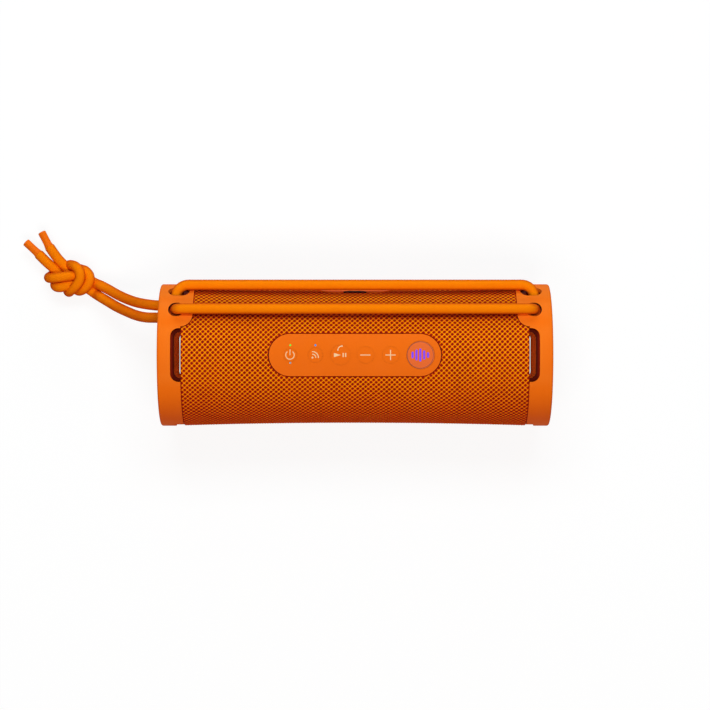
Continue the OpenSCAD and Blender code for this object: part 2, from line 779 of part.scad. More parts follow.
grille_fabric();
grille_frame();
enclosure_front();
enclosure_rear();
enclosure_gasket();
enclosure_screws();
end_frame_left();
end_frame_right();
end_bumper_left();
end_bumper_right();
end_screws();
radiator_frame_left();
radiator_frame_right();
radiator_surround_left();
radiator_surround_right();
radiator_plate_left();
radiator_plate_right();
control_panel();
panel_gasket();
light_pipes();
key_power();
key_pairing();
key_play();
key_minus();
key_plus();
key_sound();
key_board();
key_switches();
microphone();
woofer_basket();
woofer_surround();
woofer_cone();
woofer_dust_cap();
woofer_spider();
voice_coil();
woofer_magnet();
woofer_gasket();
woofer_screws();
tweeter_frame();
tweeter_dome();
tweeter_magnet();
tweeter_screws();
main_board();
board_chips();
usb_port();
board_screws();
battery_cells();
battery_holder();
battery_lead();
speaker_leads();
key_cable();
port_bezel();
port_cover();
port_gasket();
base_foot();
strap_cord();
strap_tail();
cord_tips();
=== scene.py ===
"""Cylindrical speaker in a knitted sleeve, with a cord knotted at its free end.

The body lies along x on the floor at z = 0. Its control panel faces up (+z), its port faces
the rear (+y), and the free end of the cord leaves the left end (-x). Shapes are worked out in
mm and become metres when a mesh is made. Angles round the body run from straight up to +y.
"""
import bmesh
import bpy
import math
import numpy as np
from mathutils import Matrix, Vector

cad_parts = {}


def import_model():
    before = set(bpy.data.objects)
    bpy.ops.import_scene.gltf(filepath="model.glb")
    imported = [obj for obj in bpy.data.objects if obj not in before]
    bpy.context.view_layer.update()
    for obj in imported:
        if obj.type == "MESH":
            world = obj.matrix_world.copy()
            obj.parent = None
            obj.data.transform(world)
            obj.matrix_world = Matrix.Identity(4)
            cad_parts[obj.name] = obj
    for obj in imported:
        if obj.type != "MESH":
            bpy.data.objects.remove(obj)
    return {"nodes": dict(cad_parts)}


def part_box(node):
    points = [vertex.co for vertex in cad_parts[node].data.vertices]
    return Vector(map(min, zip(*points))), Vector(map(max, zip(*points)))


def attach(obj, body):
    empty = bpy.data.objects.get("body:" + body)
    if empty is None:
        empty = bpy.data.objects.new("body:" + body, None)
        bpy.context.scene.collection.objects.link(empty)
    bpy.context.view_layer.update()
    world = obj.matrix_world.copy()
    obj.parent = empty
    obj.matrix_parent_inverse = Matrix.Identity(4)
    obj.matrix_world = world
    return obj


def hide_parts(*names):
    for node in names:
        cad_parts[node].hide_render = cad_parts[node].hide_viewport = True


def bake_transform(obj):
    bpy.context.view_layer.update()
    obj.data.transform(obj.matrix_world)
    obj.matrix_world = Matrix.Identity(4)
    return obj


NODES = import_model()["nodes"]
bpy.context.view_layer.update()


# ---------------------------------------------------------------- driving sizes (mm)
def box_mm(part):
    low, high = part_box(part)
    return np.array(low) * 1000.0, np.array(high) * 1000.0


def middle_x(part):
    low, high = box_mm(part)
    return (low[0] + high[0]) / 2.0


bumper_low, bumper_high = box_mm("end_bumper_right")
AXIS_Z = (bumper_low[2] + bumper_high[2]) / 2.0

fabric_low, fabric_high = box_mm("grille_fabric")
SLEEVE_HALF = fabric_high[0]
SLEEVE_END_R = (fabric_high[2] - fabric_low[2]) / 2.0
SLEEVE_MID_R = SLEEVE_END_R - 1.4

panel_low, panel_high = box_mm("control_panel")
PANEL_LENGTH, PANEL_WIDTH = (panel_high - panel_low)[:2]
PANEL_R = panel_high[2] - AXIS_Z

PORT_LENGTH, PORT_WIDTH = 46.0, 22.0
PORT_ANGLE = math.radians(84.4)

# tabs of the end caps that reach in over the sleeve, with one rounded corner each
TAB_X = bumper_low[0]
TAB_R = 6.3
TAB_CORNER_X = TAB_X + TAB_R
TAB_CORNER_Y = 21.2
TAB_LOW_Z = 4.0                       # over the axis

CORD_R = 2.75
RUN_R = 40.5                          # from the body axis to the middle of a cord run
# outward slant of the cord where it enters the caps: upper run, rear run
CORD_SLANTS = (math.radians(4.0), math.radians(98.0))


# ---------------------------------------------------------------- material helpers
NOISE_SPAN = (0.3, 0.7)               # where most values of a slow noise lie
FINE_SPAN = (0.35, 0.65)              # the same for a fine noise, with more contrast


def linear(rgb):
    """Linear colour with alpha from 8-bit sRGB."""
    shares = [value / 255.0 for value in rgb]
    return [s / 12.92 if s <= 0.04045 else ((s + 0.055) / 1.055) ** 2.4 for s in shares] + [1.0]


def scaled(colour, *gains):
    """Colour with its three channels multiplied by one gain, or by one gain each."""
    gains = gains * 3 if len(gains) == 1 else gains
    return [channel * gain for channel, gain in zip(colour, gains)] + [1]


class Material:
    """A node tree with a Principled shader, and short ways to add nodes to it."""

    def __init__(self, name):
        self.material = bpy.data.materials.new(name)
        self.material.use_nodes = True
        self.tree = self.material.node_tree
        self.tree.nodes.clear()
        self.output = self.node("ShaderNodeOutputMaterial")
        self.shader = self.node("ShaderNodeBsdfPrincipled")
        self.feed(self.output.inputs[0], self.shader.outputs[0])

    def feed(self, socket, value):
        """Give a socket a value, or link an output to it."""
        if isinstance(value, (int, float, list, tuple)):
            socket.default_value = value
        else:
            self.tree.links.new(value, socket)

    def apply(self, node, settings):
        """Keys that name an input (with _ for a space) feed it, others are properties."""
        for key, value in settings.items():
            socket = key.replace("_", " ")
            if socket in node.inputs:
                self.feed(node.inputs[socket], value)
            else:
                setattr(node, key, value)

    def node(self, kind, **settings):
        node = self.tree.nodes.new(kind)
        self.apply(node, settings)
        return node

    def set(self, **settings):
        """Set inputs of the Principled shader, and return the finished material."""
        self.apply(self.shader, settings)
        return self.material

    def coord(self):
        return self.node("ShaderNodeTexCoord").outputs["Object"]

    def split_coord(self):
        """Object coordinates in metres, as three outputs."""
        return self.node("ShaderNodeSeparateXYZ", Vector=self.coord()).outputs

    def position(self, axes):
        """Place in mm along each of the named axes, with z taken from the body axis."""
        metres = self.split_coord()
        places = []
        for axis in axes:
            place = self.math("MULTIPLY", metres["xyz".index(axis)], 1000.0)
            if axis == "z":
                place = self.math("SUBTRACT", place, AXIS_Z)
            places.append(place)
        return places

    def noise(self, scale, detail=3.0, rough=0.5, vector=None):
        node = self.node("ShaderNodeTexNoise", Scale=scale, Detail=detail, Roughness=rough,
                         Vector=vector or self.coord())
        return node.outputs["Fac"]

    def height_attribute(self):
        return self.node("ShaderNodeAttribute", attribute_name="h").outputs["Fac"]

    def ramp(self, factor, stops):
        node = self.node("ShaderNodeValToRGB")
        elements = node.color_ramp.elements
        while len(elements) < len(stops):
            elements.new(0.5)
        for i, (position, colour) in enumerate(stops):
            elements[i].position = position
            elements[i].color = colour
        self.feed(node.inputs[0], factor)
        return node.outputs["Color"]

    def mix(self, factor, first, second, mode="MIX"):
        node = self.node("ShaderNodeMix", data_type="RGBA", blend_type=mode)
        # the colour sockets of this node are inputs 6 and 7 and output 2
        for index, value in ((0, factor), (6, first), (7, second)):
            self.feed(node.inputs[index], value)
        return node.outputs[2]

    def math(self, operation, a, b=0.0):
        node = self.node("ShaderNodeMath", operation=operation)
        self.feed(node.inputs[0], a)
        self.feed(node.inputs[1], b)
        return node.outputs[0]

    def distance(self, a, b):
        squares = self.math("MULTIPLY", a, a), self.math("MULTIPLY", b, b)
        return self.math("SQRT", self.math("ADD", *squares))

    def remap(self, value, span, to=(0.0, 1.0)):
        """Carry value from span to the range to, held at its ends."""
        node = self.node("ShaderNodeMapRange")
        for index, limit in enumerate((*span, *to), start=1):
            node.inputs[index].default_value = limit
        self.feed(node.inputs[0], value)
        return node.outputs[0]

    def tint(self, colour, towards, factor, amount, span=NOISE_SPAN):
        """Mix colour towards another by up to amount, as factor crosses span."""
        return self.mix(self.remap(factor, span, to=(0.0, amount)), colour, towards)

    def turned(self, span, top=1.0):
        """Rises from 0 to top as the surface turns away from the eye."""
        facing = self.node("ShaderNodeLayerWeight", Blend=0.5).outputs["Facing"]
        return self.remap(facing, span, to=(0.0, top))

    def low_turned(self, y_span, turn_span):
        """Mask for painted shade: turned-away surface that lies towards -y (full, then none) or
        below the axis.
        """
        y, z = self.position("yz")
        low = self.math("MAXIMUM", self.remap(y, y_span, to=(1.0, 0.0)),
                        self.remap(z, (0.0, 8.0), to=(1.0, 0.0)))
        return self.math("MULTIPLY", low, self.turned(turn_span))

    def bump(self, height, strength, distance):
        return self.node("ShaderNodeBump", Strength=strength, Distance=distance,
                         Height=height).outputs["Normal"]


# ---------------------------------------------------------------- materials
# oblong cord holes of the caps, where shade is painted: angle round the body, slant of the
# cord, x of the outer end's centre, straight length (mm), radius (mm), depth of the painted
# shade
CORD_HOLES = (
    (36.5, CORD_SLANTS[0], 93.8, 1.0, 3.6, 1.0),
    (66.0, CORD_SLANTS[1], 94.5, 3.8, 3.7, 0.4),
)


def cord_hole_shade(m):
    """Painted shade: 1 inside the oblong cord holes of the caps, where little light gets in."""
    x, y, z = m.position("xyz")
    x_size = m.math("ABSOLUTE", x)
    upper_rear = m.math("MULTIPLY", m.remap(y, (14.0, 15.0)), m.remap(z, (2.0, 3.0)))
    shade = 0.0
    for degrees, slant, end_x, straight, radius, depth in CORD_HOLES:
        angle = math.radians(degrees)
        y_off = m.math("SUBTRACT", y, RUN_R * math.sin(angle))
        z_off = m.math("SUBTRACT", z, RUN_R * math.cos(angle))
        across = m.math("SUBTRACT", m.math("MULTIPLY", y_off, math.cos(slant)),
                        m.math("MULTIPLY", z_off, math.sin(slant)))
        x_off = m.math("ABSOLUTE", m.math("SUBTRACT", x_size, end_x - straight / 2))
        along = m.math("MAXIMUM", m.math("SUBTRACT", x_off, straight / 2), 0.0)
        inside = m.remap(m.distance(along, across), (radius + 0.02, radius + 0.2),
                         to=(depth, 0.0))
        shade = m.math("MAXIMUM", inside, shade)
    return m.math("MULTIPLY", shade, upper_rear)


def scoop_shade(m):
    """Painted shade: 1 inside the scoop in the rim of the rear port."""
    centre_offset = 25.5              # from the port's middle, round the body
    edge = (15.65, 15.8)              # radius where the shade ends
    x, y, z = m.position("xyz")
    across = m.math("SUBTRACT", m.math("MULTIPLY", y, math.cos(PORT_ANGLE)),
                    m.math("MULTIPLY", z, math.sin(PORT_ANGLE)))
    across = m.math("ADD", across, centre_offset)
    return m.remap(m.distance(x, across), edge, to=(1.0, 0.0))


def moulded(name, rgb, rough=0.55, grain=2600.0, bump=0.12, drift=0.07, wear=None,
            specular=0.5, shade=None, low_shade=False):
    """Moulded plastic or rubber: fine grain, slow colour drift, lighter worn edges.

    shade paints shade where the function it names gives 1; low_shade paints shade on the low,
    turned side.
    """
    m = Material(name)
    base = linear(rgb)
    dark = scaled(base, 1 - drift, 1 - 1.4 * drift, 1 - 1.4 * drift)
    light = [min(1, channel) for channel in scaled(base, 1 + drift)]
    colour = m.ramp(m.noise(38.0, detail=4.0), [(0.3, dark), (0.7, light)])
    fine = m.noise(grain, rough=0.6)
    colour = m.tint(colour, scaled(base, 0.72, 0.66, 0.6), fine, amount=0.10, span=FINE_SPAN)
    if wear:
        edge = m.node("ShaderNodeNewGeometry").outputs["Pointiness"]
        worn = [min(1, c * gain + 0.02) for c, gain in zip(base, (1.15, 1.35, 1.5))] + [1]
        colour = m.tint(colour, worn, edge, amount=wear, span=(0.53, 0.60))
    if shade:
        # painted shade: dark where the shade function gives 1
        colour = m.mix(shade(m), colour, linear((58, 12, 4)))
    if low_shade:
        # painted shade: darker and redder on the low side that turns away from the eye
        low = m.low_turned(y_span=(-24.0, -14.0), turn_span=(0.15, 0.55))
        colour = m.mix(low, colour, (0.85, 0.68, 0.95, 1.0), "MULTIPLY")
    roughness = m.remap(m.noise(120.0), NOISE_SPAN, to=(rough - 0.05, rough + 0.06))
    return m.set(Base_Color=colour, Roughness=roughness, Specular_IOR_Level=specular,
                 Normal=m.bump(fine, strength=bump, distance=0.00006))


def ring_inside():
    """Inner ring: painted shade on the ledge under the outer skin, lighter on its inner wall,
    with painted light towards the top.
    """
    m = Material("inner_cap")
    x, y, z = m.position("xyz")
    outer = m.remap(m.distance(y, z), (34.0, 35.2))
    # painted light: the inner wall is lighter towards the top
    wall = m.mix(m.remap(z, (-30.0, 34.0)), linear((248, 104, 34)), linear((255, 124, 24)))
    # painted shade: the ledge is darkest on its side towards the sleeve
    ledge = m.mix(m.remap(m.math("ABSOLUTE", x), (94.6, 96.2)),
                  linear((78, 14, 4)), linear((140, 26, 8)))
    colour = m.mix(outer, wall, ledge)
    # painted shade in the cord holes
    colour = m.mix(cord_hole_shade(m), colour, linear((50, 10, 4)))
    fine = m.noise(1800.0, rough=0.6)
    colour = m.tint(colour, linear((84, 20, 6)), fine, amount=0.18, span=FINE_SPAN)
    return m.set(Base_Color=colour, Specular_IOR_Level=0.04,
                 Roughness=m.remap(m.noise(120.0), NOISE_SPAN, to=(0.55, 0.7)),
                 Normal=m.bump(fine, strength=0.12, distance=0.00006))


def brushed_metal(name, rgb, rough=0.3):
    m = Material(name)
    base = linear(rgb)
    stretch = m.node("ShaderNodeMapping", Scale=(1.0, 1.0, 18.0), Vector=m.coord())
    streak = m.noise(420.0, detail=4.0, rough=0.65, vector=stretch.outputs[0])
    colour = m.ramp(streak, [(0.25, scaled(base[:3], 0.78)), (0.75, base)])
    return m.set(Base_Color=colour, Metallic=1.0,
                 Roughness=m.remap(streak, NOISE_SPAN, to=(rough - 0.08, rough + 0.12)),
                 Normal=m.bump(streak, strength=0.15, distance=0.00003))


def knit_weave():
    """Open diamond knit: colour from the height attribute (painted shade in the holes, painted
    highlight on the crossings), yarn ply, painted shade and cord shadow.
    """
    m = Material("knit_weave")
    # dark in the holes, partly the carrier behind and partly painted shade; yellow on the
    # crossings, painted highlight
    colour = m.ramp(m.height_attribute(), [
        (0.0, linear((70, 8, 4))), (0.06, linear((132, 18, 12))),
        (0.24, linear((136, 18, 12))), (0.42, linear((190, 46, 6))),
        (0.56, linear((252, 116, 2))), (0.78, linear((255, 164, 0))),
        (1.0, linear((255, 222, 10)))])
    colour = m.tint(colour, linear((214, 66, 2)), m.noise(55.0), amount=0.12)
    ply = m.noise(3400.0, detail=2.0, rough=0.6)
    colour = m.tint(colour, linear((200, 66, 2)), ply, amount=0.14, span=FINE_SPAN)
    # painted shade: redder and darker where the threads turn away from the eye
    colour = m.mix(m.turned((0.22, 0.8), top=0.5), colour, linear((168, 30, 8)))
    # painted shadow of the cord where it lies close over the knit: y where it rises, y where it
    # falls, multiplying colour
    y, z = m.position("yz")
    upper = m.remap(z, (2.0, 6.0))
    for rise, fall, shade in (((17.4, 20.0), (26.0, 28.0), (0.5, 0.25, 1.0, 1.0)),
                              ((31.0, 32.6), (33.4, 34.2), (0.7, 0.36, 1.0, 1.0))):
        cord_shadow = m.math("MULTIPLY", m.remap(y, rise), m.remap(y, fall, to=(1.0, 0.0)))
        colour = m.mix(m.math("MULTIPLY", cord_shadow, upper), colour, shade, "MULTIPLY")
    # painted shade: redder on the low side that turns away from the eye
    low = m.low_turned(y_span=(-18.0, -12.0), turn_span=(0.06, 0.38))
    colour = m.mix(low, colour, (0.94, 0.58, 1.0, 1.0), "MULTIPLY")
    return m.set(Base_Color=colour, Roughness=0.8, Specular_IOR_Level=0.04,
                 Normal=m.bump(ply, strength=0.35, distance=0.0001))


def cord_braid():
    m = Material("cord_braid")
    # darker in the grooves between strands, lighter on their crowns: painted shade and
    # highlight
    colour = m.ramp(m.height_attribute(), [(0.0, linear((218, 66, 2))),
                                           (0.4, linear((255, 124, 2))),
                                           (1.0, linear((255, 154, 2)))])
    colour = m.tint(colour, linear((248, 106, 4)), m.noise(70.0), amount=0.12)
    fibre = m.noise(5200.0, detail=2.0, rough=0.6)
    colour = m.tint(colour, linear((232, 84, 4)), fibre, amount=0.12, span=FINE_SPAN)
    # painted shade: redder and darker where the cord turns away from the eye
    colour = m.mix(m.turned((0.14, 0.8), top=0.75), colour, linear((196, 42, 6)))
    return m.set(Base_Color=colour, Roughness=0.75, Specular_IOR_Level=0.03,
                 Normal=m.bump(fibre, strength=0.3, distance=0.00008))


def cord_tip_skin():
    m = Material("cord_tip_skin")
    colour = m.tint(linear((252, 124, 4)), linear((238, 96, 4)), m.noise(420.0), amount=0.5)
    return m.set(Base_Color=colour, Roughness=0.5, Specular_IOR_Level=0.08,
                 Normal=m.bump(m.noise(900.0), strength=0.25, distance=0.0001))


def light_lens():
    """Lenses: blue by the pairing key; left of it, green at +y and grey-blue at -y."""
    m = Material("light_lens")
    x, y = m.split_coord()[:2]
    left = m.remap(x, (-0.0270, -0.0271))
    rear = m.remap(y, (0.0, 0.0001))
    left_pair = m.mix(rear, linear((92, 118, 128)), linear((92, 235, 22)))
    colour = m.mix(left, linear((8, 138, 214)), left_pair)
    colour = m.tint(colour, [1, 1, 1, 1], m.noise(900.0, detail=2.0), amount=0.05)
    return m.set(Base_Color=colour, Roughness=0.25, Emission_Color=colour,
                 Emission_Strength=0.35, Coat_Weight=0.5)


def painted(name, rgb, glow=0.0):
    m = Material(name)
    base = linear(rgb)
    colour = m.ramp(m.noise(1500.0), [(0.3, scaled(base[:3], 0.9)), (0.7, base)])
    if glow:
        m.set(Emission_Color=colour, Emission_Strength=glow)
    return m.set(Base_Color=colour, Roughness=0.5,
                 Normal=m.bump(m.noise(3800.0, detail=2.0), strength=0.1, distance=0.00003))


def circuit_board():
    """Green board with round gold dots and a brick-like net of paler traces."""
    m = Material("circuit_board")
    dots = m.node("ShaderNodeTexVoronoi", Scale=380.0, Vector=m.coord()).outputs["Distance"]
    traces = m.node("ShaderNodeTexBrick", Scale=240.0, Vector=m.coord()).outputs["Fac"]
    colour = m.mix(m.remap(dots, (0.10, 0.16), to=(1.0, 0.0)),
                   linear((18, 84, 44)), linear((196, 160, 84)))
    colour = m.tint(colour, linear((34, 112, 60)), traces, amount=0.5, span=(0.4, 0.6))
    return m.set(Base_Color=colour, Roughness=0.35,
                 Normal=m.bump(dots, strength=0.2, distance=0.0001))


def coil_wire():
    m = Material("coil_wire")
    turns = m.node("ShaderNodeTexWave", Scale=900.0, Distortion=0.4, bands_direction="Y",
                   Vector=m.coord()).outputs["Fac"]
    base = linear((210, 120, 50))
    colour = m.ramp(turns, [(0.0, scaled(base[:3], 0.4)), (1.0, base)])
    return m.set(Base_Color=colour, Roughness=0.4, Metallic=0.6,
                 Normal=m.bump(turns, strength=0.5, distance=0.0001))


def floor_paper():
    """Grey to the light it bounces, near white to the camera."""
    m = Material("floor_paper")
    m.set(Base_Color=[0.75, 0.75, 0.75, 1], Roughness=0.9, Specular_IOR_Level=0.05,
          Normal=m.bump(m.noise(300.0, detail=2.0), strength=0.05, distance=0.0001))
    seen = m.node("ShaderNodeBsdfPrincipled", Base_Color=(0.165, 0.185, 0.2, 1),
                  Roughness=0.9, Specular_IOR_Level=0.0,
                  Emission_Color=(1, 1, 1, 1), Emission_Strength=0.86)
    choice = m.node("ShaderNodeMixShader")
    camera_ray = m.node("ShaderNodeLightPath").outputs["Is Camera Ray"]
    for socket, source in zip(choice.inputs, (camera_ray, m.shader.outputs[0],
                                              seen.outputs[0])):
        m.feed(socket, source)
    m.feed(m.output.inputs[0], choice.outputs[0])
    return m.material


def dress_parts():
    """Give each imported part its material."""
    cap_look = dict(rough=0.6, grain=2200.0, bump=0.16, drift=0.02, wear=0.25, specular=0.06)
    table = (
        # cap skin: painted shade in the cord holes and on the low, turned side
        (moulded("cap_skin", (252, 120, 13), shade=cord_hole_shade, low_shade=True, **cap_look),
         "end_bumper_left end_bumper_right"),
        (moulded("panel_skin", (248, 118, 14), bump=0.10, drift=0.02, specular=0.06),
         "control_panel key_power key_pairing key_play key_minus key_plus"),
        (ring_inside(), "end_frame_left end_frame_right"),
        (moulded("grille_carrier", (118, 20, 8), rough=0.6, grain=1500.0, drift=0.1),
         "grille_frame"),
        (moulded("box_plastic", (42, 42, 45), rough=0.5, wear=0.3),
         "enclosure_front enclosure_rear woofer_basket tweeter_frame battery_holder"),
        (moulded("gasket_rubber", (22, 22, 24), rough=0.8, grain=1400.0),
         "enclosure_gasket panel_gasket port_gasket woofer_gasket"),
        (brushed_metal("screw_plate", (168, 170, 176)),
         "enclosure_screws end_screws board_screws woofer_screws tweeter_screws"),
        (moulded("radiator_ring", (60, 24, 12), wear=0.3),
         "radiator_frame_left radiator_frame_right"),
        (moulded("roll_rubber", (30, 28, 28), rough=0.7, grain=1600.0, specular=0.4),
         "radiator_surround_left radiator_surround_right woofer_surround"),
        (moulded("radiator_face", (226, 104, 20), rough=0.42, grain=1900.0, drift=0.05,
                 wear=0.3), "radiator_plate_left radiator_plate_right"),
        (light_lens(), "light_pipes"),
        (moulded("sound_key_skin", (240, 112, 38), rough=0.5, drift=0.02, specular=0.2),
         "key_sound"),
        (circuit_board(), "main_board key_board"),
        (moulded("chip_mould", (26, 26, 28), rough=0.45, wear=0.4), "board_chips"),
        (brushed_metal("port_shell", (196, 198, 202), rough=0.22), "usb_port"),
        (brushed_metal("switch_can", (176, 178, 182)), "key_switches microphone"),
        (moulded("cone_fibre", (58, 56, 54), rough=0.7, grain=900.0, bump=0.4),
         "woofer_cone woofer_dust_cap"),
        (moulded("spider_cloth", (196, 158, 74), rough=0.85, grain=1100.0, bump=0.5),
         "woofer_spider"),
        (coil_wire(), "voice_coil"),
        (brushed_metal("magnet_plate", (128, 130, 134), rough=0.38),
         "woofer_magnet tweeter_magnet"),
        (brushed_metal("dome_metal", (200, 200, 204), rough=0.28), "tweeter_dome"),
        (moulded("cell_film", (38, 88, 160), rough=0.28, grain=600.0, bump=0.05),
         "battery_cells"),
        (moulded("lead_jacket", (176, 26, 20), rough=0.45), "battery_lead speaker_leads"),
        (moulded("flex_film", (186, 118, 30), rough=0.3, grain=700.0), "key_cable"),
        (moulded("foot_rubber", (46, 36, 32), rough=0.85, grain=1300.0, bump=0.3, wear=0.2),
         "base_foot"),
        # port skin: painted shade in the finger scoop
        (moulded("port_skin", (250, 118, 22), rough=0.5, bump=0.10, drift=0.02,
                 specular=0.12, shade=scoop_shade), "port_bezel"),
        (moulded("flap_skin", (252, 120, 13), **cap_look), "port_cover"),
    )
    material_of = {part: material for material, parts in table for part in parts.split()}
    for name, part in NODES.items():
        if name not in material_of:
            continue
        for slot in part.material_slots:
            slot.material = material_of[name]
        if not part.material_slots:
            part.data.materials.append(material_of[name])


dress_parts()


# ---------------------------------------------------------------- mesh helpers
def finish_mesh(mesh, material, smooth=True, heights=None):
    """Shade the mesh, store the height attribute and put it in the scene as an object."""
    mesh.validate()
    if smooth:
        mesh.polygons.foreach_set("use_smooth", np.ones(len(mesh.polygons), dtype=bool))
    if heights is not None:
        attribute = mesh.attributes.new("h", "FLOAT", "POINT")
        attribute.data.foreach_set("value", np.asarray(heights, dtype=np.float32))
    piece = bpy.data.objects.new(mesh.name, mesh)
    bpy.context.scene.collection.objects.link(piece)
    mesh.materials.append(material)
    return piece


def add_mesh(name, points, faces, material, **finish):
    mesh = bpy.data.meshes.new(name)
    mesh.from_pydata((np.asarray(points) / 1000.0).tolist(), [], faces)
    mesh.update()
    return finish_mesh(mesh, material, **finish)


def add_large_mesh(name, points, quads, triangles, material, heights):
    """Mesh from arrays of quads and triangles, filled in bulk for speed."""
    mesh = bpy.data.meshes.new(name)
    corners = np.concatenate([quads.ravel(), triangles.ravel()]).astype(np.int32)
    starts = np.concatenate([np.arange(len(quads)) * 4,
                             quads.size + np.arange(len(triangles)) * 3]).astype(np.int32)
    mesh.vertices.add(len(points))
    mesh.vertices.foreach_set("co", (points / 1000.0).ravel())
    mesh.loops.add(len(corners))
    mesh.loops.foreach_set("vertex_index", corners)
    mesh.polygons.add(len(starts))
    mesh.polygons.foreach_set("loop_start", starts)
    mesh.update(calc_edges=True)
    return finish_mesh(mesh, material, heights=heights)


def add_tube(name, rings, first, last, material, heights=None):
    """Skin over rings (ring, place round, xyz), closed by fans from first and last."""
    count, around = rings.shape[:2]
    faces = []
    for ring in range(count - 1):
        here, there = ring * around, (ring + 1) * around
        for k in range(around):
            after = (k + 1) % around
            faces.append((here + k, here + after, there + after, there + k))
    centre = count * around
    base = centre - around
    faces += [(centre, (k + 1) % around, k) for k in range(around)]
    faces += [(centre + 1, base + k, base + (k + 1) % around) for k in range(around)]
    points = np.vstack([rings.reshape(-1, 3), first, last])
    return add_mesh(name, points, faces, material, heights=heights)


def register(piece, rides, replaces=None):
    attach(piece, rides)
    if replaces:
        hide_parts(replaces)


# ---------------------------------------------------------------- knitted sleeve
PITCH = 2.73                          # length of one diamond along the body
PER_ROUND = 85                        # diamonds round the body
SUB = 8                               # mesh steps in one diamond
BLOCK = 4                             # mesh steps in one block, the unit that is left out
SECTIONS = 5                          # the sleeve is split into this many objects
KNIT_HALF = SLEEVE_HALF - 0.02
THREAD_R = 0.44
CLOTH = 0.78                          # thickness
RELIEF = 0.46                         # depth of the holes below the threads
FOLD_OUT = 0.30                       # the cloth folds down this far outside an opening
PRESSED_R = 36.66                     # radius of the cloth under the tabs
HEM = 0.7                             # width of the flattened hem at each end
FAR_OUTSIDE = -99.0
# openings: length, width, angle round the body
OPENINGS = ((PANEL_LENGTH, PANEL_WIDTH, 0.0), (PORT_LENGTH, PORT_WIDTH, PORT_ANGLE))


def weave_height(around, along):
    """0.08 or more in the holes, up to 1 on crossings; arguments count diamonds."""
    def off_thread(count):
        return np.abs(count - np.round(count)) * PITCH / math.sqrt(2)

    def thread(off):
        return np.sqrt(np.clip(1 - (off / THREAD_R) ** 2, 0, 1))

    hole_middle = 0.965               # from the threads
    p = off_thread(around + along)
    q = off_thread(around - along)
    threads = np.maximum(thread(p), thread(q))
    crossing = np.exp(-(p ** 2 + q ** 2) / 0.42 ** 2)
    hole = np.exp(-((hole_middle - p) ** 2 + (hole_middle - q) ** 2) / 0.22 ** 2)
    return np.clip(0.08 + 0.58 * threads + 0.34 * crossing + 0.16 * hole, 0, 1)


def pill_inside(x, y, length, width):
    """Distance inside the outline of a pill, positive inside, and the outward direction."""
    past_straight = np.maximum(np.abs(x) - (length - width) / 2.0, 0)
    distance = np.maximum(np.sqrt(past_straight ** 2 + y ** 2), 1e-9)
    return width / 2.0 - distance, np.sign(x) * past_straight / distance, y / distance


def tab_inside(x, y, z):
    """Distance inside the outline of the cap tabs, positive inside."""
    x_size = np.abs(x)
    over_low = z - TAB_LOW_Z
    straight = np.minimum(np.minimum(x_size - TAB_X, y - (TAB_CORNER_Y - TAB_R)), over_low)
    corner = (x_size < TAB_CORNER_X) & (y < TAB_CORNER_Y) & (z > 0)
    rounded = TAB_R - np.sqrt((x_size - TAB_CORNER_X) ** 2 + (y - TAB_CORNER_Y) ** 2)
    return np.where(corner, np.minimum(rounded, over_low), straight)


def on_body(x, radius, angle):
    points = np.stack([x, radius * np.sin(angle), radius * np.cos(angle) + AXIS_Z], axis=-1)
    return points.reshape(-1, 3)


